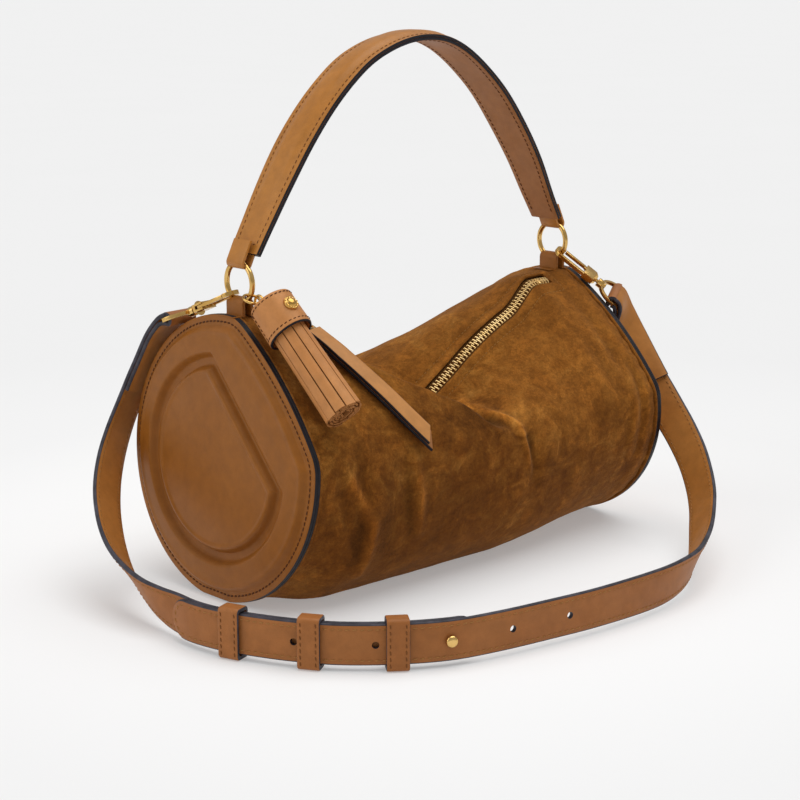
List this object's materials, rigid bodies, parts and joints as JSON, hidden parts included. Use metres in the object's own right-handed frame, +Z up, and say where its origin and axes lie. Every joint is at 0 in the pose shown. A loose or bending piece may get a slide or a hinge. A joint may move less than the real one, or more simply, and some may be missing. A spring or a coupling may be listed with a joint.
{
  "type": "barrel bag",
  "caption": "Slouchy suede barrel bag with leather ends, arched top handle on rings, tassel, zip with leather puller, and a hooked crossbody strap on the floor.",
  "frame": {"origin": "on the floor under the middle of the barrel", "axes": "+Z up, X along the barrel axis with +X to the zip's closed end, front of the bag at -Y"},
  "size_m": [0.4023, 0.294, 0.3289],
  "materials": {
    "suede": "brushed suede, mottled warm brown",
    "lining_cloth": "plain woven cloth",
    "bag_leather": "satin, light tan, stitched",
    "edge_leather": "dark painted edge, satin",
    "stiffener": "matt board",
    "handle_lining_leather": "satin, darker brown",
    "pale_gold": "polished pale gold",
    "zip_metal": "polished",
    "tape": "woven dark tape",
    "tassel_leather": "satin tan, cut edges dark",
    "strap_leather": "waxy tan, dark painted edges"
  },
  "bodies": {
    "bag": {"suede_body": "suede", "lining": "lining_cloth", "left_end_panel": "bag_leather", "right_end_panel": "bag_leather", "left_end_band": "edge_leather", "right_end_band": "edge_leather", "left_end_board": "stiffener", "right_end_board": "stiffener", "left_chape": "bag_leather", "right_chape": "bag_leather", "zip_tape_front": "tape", "zip_tape_back": "tape", "zip_teeth_front": "zip_metal", "zip_teeth_back": "zip_metal", "zip_stops": "zip_metal"},
    "ring_left": {"left_ring": "pale_gold"},
    "ring_right": {"right_ring": "pale_gold"},
    "handle": {"handle_outer": "bag_leather", "handle_core": "stiffener", "handle_lining": "handle_lining_leather", "handle_left_tab": "bag_leather", "handle_right_tab": "bag_leather"},
    "zip_slider": {"zip_slider": "pale_gold"},
    "puller": {"puller_link": "pale_gold", "puller_top": "bag_leather", "puller_under": "bag_leather"},
    "tassel_link": {"tassel_upper_ring": "pale_gold"},
    "tassel": {"tassel_lower_ring": "pale_gold", "tassel_loop": "tassel_leather", "tassel_cap": "tassel_leather", "tassel_core": "tassel_leather", "tassel_fringe": "tassel_leather", "tassel_stud": "pale_gold"},
    "strap": {"strap_right": "strap_leather", "strap_left": "strap_leather", "right_strap_bend": "strap_leather", "left_strap_bend": "strap_leather", "right_strap_flap": "strap_leather", "left_strap_flap": "strap_leather", "right_bail": "pale_gold", "left_bail": "pale_gold", "stud_post": "pale_gold"},
    "hook_right": {"right_hook_body": "pale_gold"},
    "gate_right": {"right_hook_gate": "pale_gold"},
    "hook_left": {"left_hook_body": "pale_gold"},
    "gate_left": {"left_hook_gate": "pale_gold"},
    "keeper_1": {"keeper_1": "bag_leather"},
    "keeper_2": {"keeper_2": "bag_leather"},
    "keeper_3": {"keeper_3": "bag_leather"},
    "stud_head": {"stud_head": "pale_gold"}
  },
  "joints": [
    {"name": "ring_left_turn", "type": "hinge", "parent": "bag", "child": "ring_left", "pos_m": [-0.134, 0, 0.187], "axis": [1, 0, 0], "continuous": true},
    {"name": "ring_right_turn", "type": "hinge", "parent": "bag", "child": "ring_right", "pos_m": [0.134, 0, 0.187], "axis": [1, 0, 0], "continuous": true},
    {"name": "handle_swing", "type": "hinge", "parent": "bag", "child": "handle", "pos_m": [0, 0, 0.187], "axis": [1, 0, 0], "range_deg": [-40, 40]},
    {"name": "zip_run", "type": "slide", "parent": "bag", "child": "zip_slider", "axis": [0.8452, 0.0011, -0.5344], "range_m": [0, 0.08]},
    {"name": "puller_lift", "type": "hinge", "parent": "zip_slider", "child": "puller", "pos_m": [-0.10024, -0.02033, 0.15895], "axis": [-0.9758, 0.2157, 0.0347], "range_deg": [0, 105]},
    {"name": "tassel_link_swing", "type": "hinge", "parent": "bag", "child": "tassel_link", "pos_m": [-0.134, -0.00908, 0.17938], "axis": [-1, 0, 0], "range_deg": [0, 5]},
    {"name": "tassel_swing", "type": "hinge", "parent": "tassel_link", "child": "tassel", "pos_m": [-0.13379, -0.0154, 0.17662], "axis": [-1, 0, 0], "range_deg": [0, 20]},
    {"name": "strap_lift", "type": "hinge", "parent": "bag", "child": "strap", "pos_m": [0.134, -0.00881, 0.17907], "axis": [-0.9978, 0.0656, 0], "range_deg": [0, 2]},
    {"name": "hook_right_swivel", "type": "hinge", "parent": "strap", "child": "hook_right", "pos_m": [0.13453, -0.00938, 0.17845], "axis": [0.5327, -0.578, -0.6182], "range_deg": [-10, 10]},
    {"name": "hook_left_swivel", "type": "hinge", "parent": "strap", "child": "hook_left", "pos_m": [-0.13411, 0.00944, 0.17879], "axis": [-0.1526, 0.9052, -0.3967], "range_deg": [-8, 8]},
    {"name": "gate_right_press", "type": "hinge", "parent": "hook_right", "child": "gate_right", "pos_m": [0.14909, -0.01981, 0.16645], "axis": [0.126, -0.6682, 0.7333], "range_deg": [0, 18], "stiffness_Nm_per_rad": 0.02, "springref_deg": -8.59},
    {"name": "gate_left_press", "type": "hinge", "parent": "hook_left", "child": "gate_left", "pos_m": [-0.14119, 0.028, 0.17042], "axis": [-0.055, 0.393, 0.9179], "range_deg": [0, 18], "stiffness_Nm_per_rad": 0.02, "springref_deg": -8.59},
    {"name": "keeper_1_slide", "type": "slide", "parent": "strap", "child": "keeper_1", "axis": [0.3338, -0.9426, 0], "range_m": [-0.005, 0.005]},
    {"name": "keeper_2_slide", "type": "slide", "parent": "strap", "child": "keeper_2", "axis": [0.5446, -0.8387, 0], "range_m": [-0.005, 0.005]},
    {"name": "keeper_3_slide", "type": "slide", "parent": "strap", "child": "keeper_3", "axis": [0.809, -0.5878, 0], "range_m": [-0.005, 0.005]},
    {"name": "stud_head_turn", "type": "hinge", "parent": "strap", "child": "stud_head", "pos_m": [-0.133, -0.1743, 0.0147], "axis": [-0.4384, -0.8988, 0], "continuous": true}
  ],
  "couplings": [
    {"joint": "puller_lift", "follows": "zip_run", "rad_per_m": 21.8}
  ]
}
